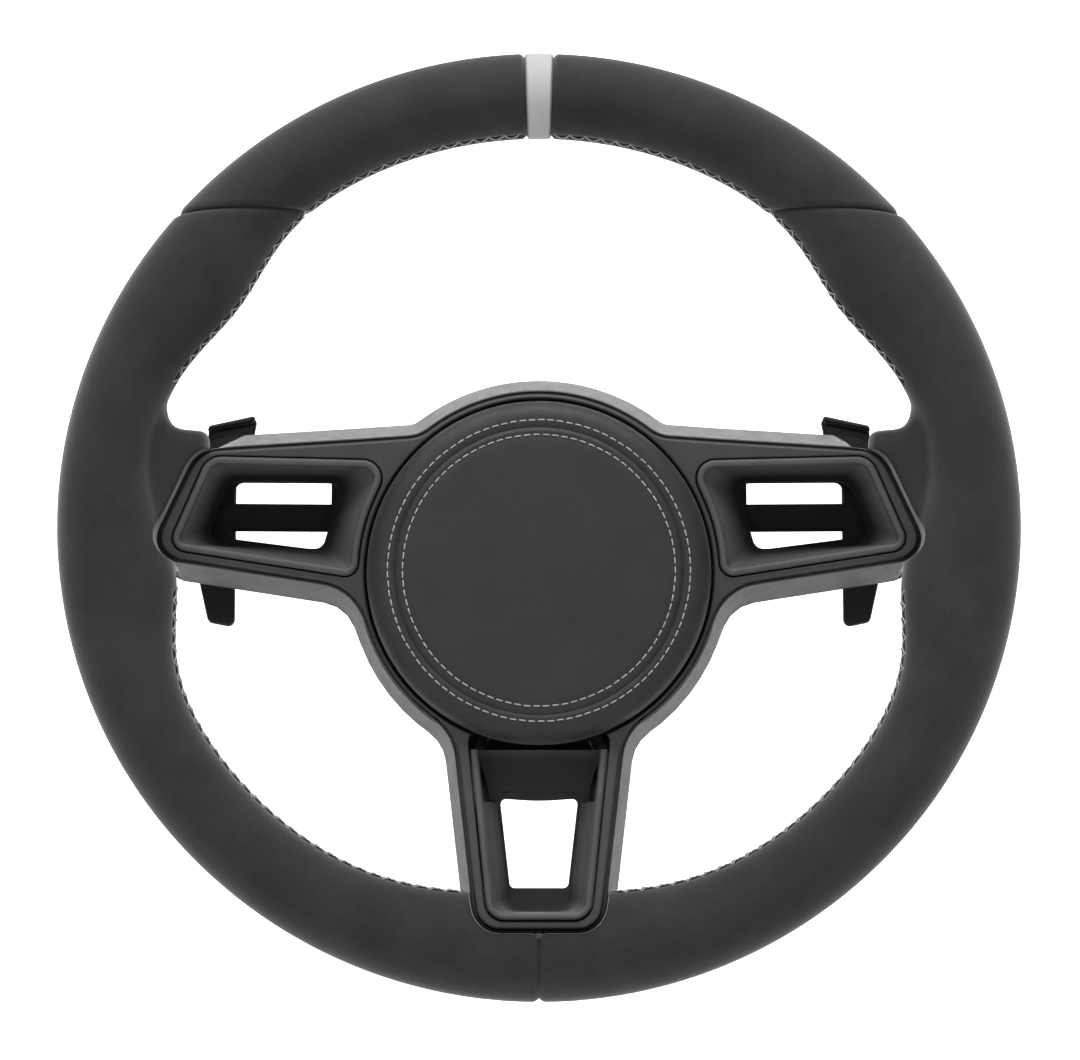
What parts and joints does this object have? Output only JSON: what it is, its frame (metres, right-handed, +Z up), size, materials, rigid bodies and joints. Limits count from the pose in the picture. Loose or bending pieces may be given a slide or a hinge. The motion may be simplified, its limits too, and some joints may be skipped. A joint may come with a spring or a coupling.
{
  "type": "racing steering wheel",
  "caption": "Round suede-wrapped racing steering wheel with flat spokes, a round horn pad and shift paddles behind the side spokes.",
  "frame": {"origin": "on the steering axis at the rear face of the hub, where the shaft's shoulder seats", "axes": "+Z up with the wheel centred, the driver on the -Y side looking along +Y, +X to the driver's right"},
  "size_m": [0.36, 0.095, 0.356],
  "materials": {
    "suede": "brushed suede with a soft nap",
    "marker_suede": "pale grey suede",
    "pad_leather": "smooth grained leather",
    "satin_plastic": "satin",
    "matte_plastic": "matte",
    "foam": "moulded foam",
    "cast_alloy": "as cast",
    "steel": "bright",
    "contact_brass": "plain",
    "wire_insulation": "matte"
  },
  "bodies": {
    "wheel": {"left_upper_wrap": "suede", "right_upper_wrap": "suede", "left_side_wrap": "suede", "right_side_wrap": "suede", "centre_marker_band": "marker_suede", "spoke_frame": "satin_plastic", "left_spoke_insert": "matte_plastic", "right_spoke_insert": "matte_plastic", "lower_spoke_insert": "matte_plastic", "rear_cover": "matte_plastic", "plug_block": "matte_plastic", "left_paddle_bracket": "matte_plastic", "right_paddle_bracket": "matte_plastic", "left_paddle_switch": "matte_plastic", "right_paddle_switch": "matte_plastic", "rim_foam": "foam", "armature": "cast_alloy", "splined_hub": "steel", "hub_bolt": "steel", "hub_washer": "steel", "horn_spring_1": "steel", "horn_spring_2": "steel", "horn_spring_3": "steel", "left_paddle_pin": "steel", "right_paddle_pin": "steel", "left_return_spring": "steel", "right_return_spring": "steel", "left_bracket_screw_1": "steel", "left_bracket_screw_2": "steel", "right_bracket_screw_1": "steel", "right_bracket_screw_2": "steel", "fixed_horn_contact": "contact_brass", "left_paddle_lead": "wire_insulation", "right_paddle_lead": "wire_insulation"},
    "horn_pad": {"pad_core": "matte_plastic", "pad_centre_leather": "pad_leather", "pad_edge_leather": "pad_leather", "pad_carrier": "cast_alloy", "moving_horn_contact": "contact_brass", "pad_screw_1": "steel", "pad_screw_2": "steel", "pad_screw_3": "steel"},
    "left_paddle": {"left_paddle": "satin_plastic"},
    "right_paddle": {"right_paddle": "satin_plastic"},
    "left_plunger": {"left_switch_plunger": "matte_plastic"},
    "right_plunger": {"right_switch_plunger": "matte_plastic"}
  },
  "joints": [
    {"name": "horn_press", "type": "slide", "parent": "wheel", "child": "horn_pad", "axis": [0, 1, 0], "range_m": [0, 0.002], "stiffness_N_per_m": 8000, "springref_m": -0.002, "deforming": ["horn_spring_1", "horn_spring_2", "horn_spring_3"]},
    {"name": "left_paddle_pull", "type": "hinge", "parent": "wheel", "child": "left_paddle", "pos_m": [-0.072, -0.036, 0], "axis": [0, 0, 1], "range_deg": [0, 4], "stiffness_Nm_per_rad": 2, "springref_deg": -3.44, "deforming": ["left_return_spring"]},
    {"name": "left_plunger_press", "type": "slide", "parent": "wheel", "child": "left_plunger", "axis": [0, -1, 0], "range_m": [0, 0.0009]},
    {"name": "right_paddle_pull", "type": "hinge", "parent": "wheel", "child": "right_paddle", "pos_m": [0.072, -0.036, 0], "axis": [0, 0, -1], "range_deg": [0, 4], "stiffness_Nm_per_rad": 2, "springref_deg": -3.44, "deforming": ["right_return_spring"]},
    {"name": "right_plunger_press", "type": "slide", "parent": "wheel", "child": "right_plunger", "axis": [0, -1, 0], "range_m": [0, 0.0009]}
  ],
  "couplings": [
    {"joint": "left_plunger_press", "follows": "left_paddle_pull", "m_per_rad": 0.012},
    {"joint": "right_plunger_press", "follows": "right_paddle_pull", "m_per_rad": 0.012}
  ]
}
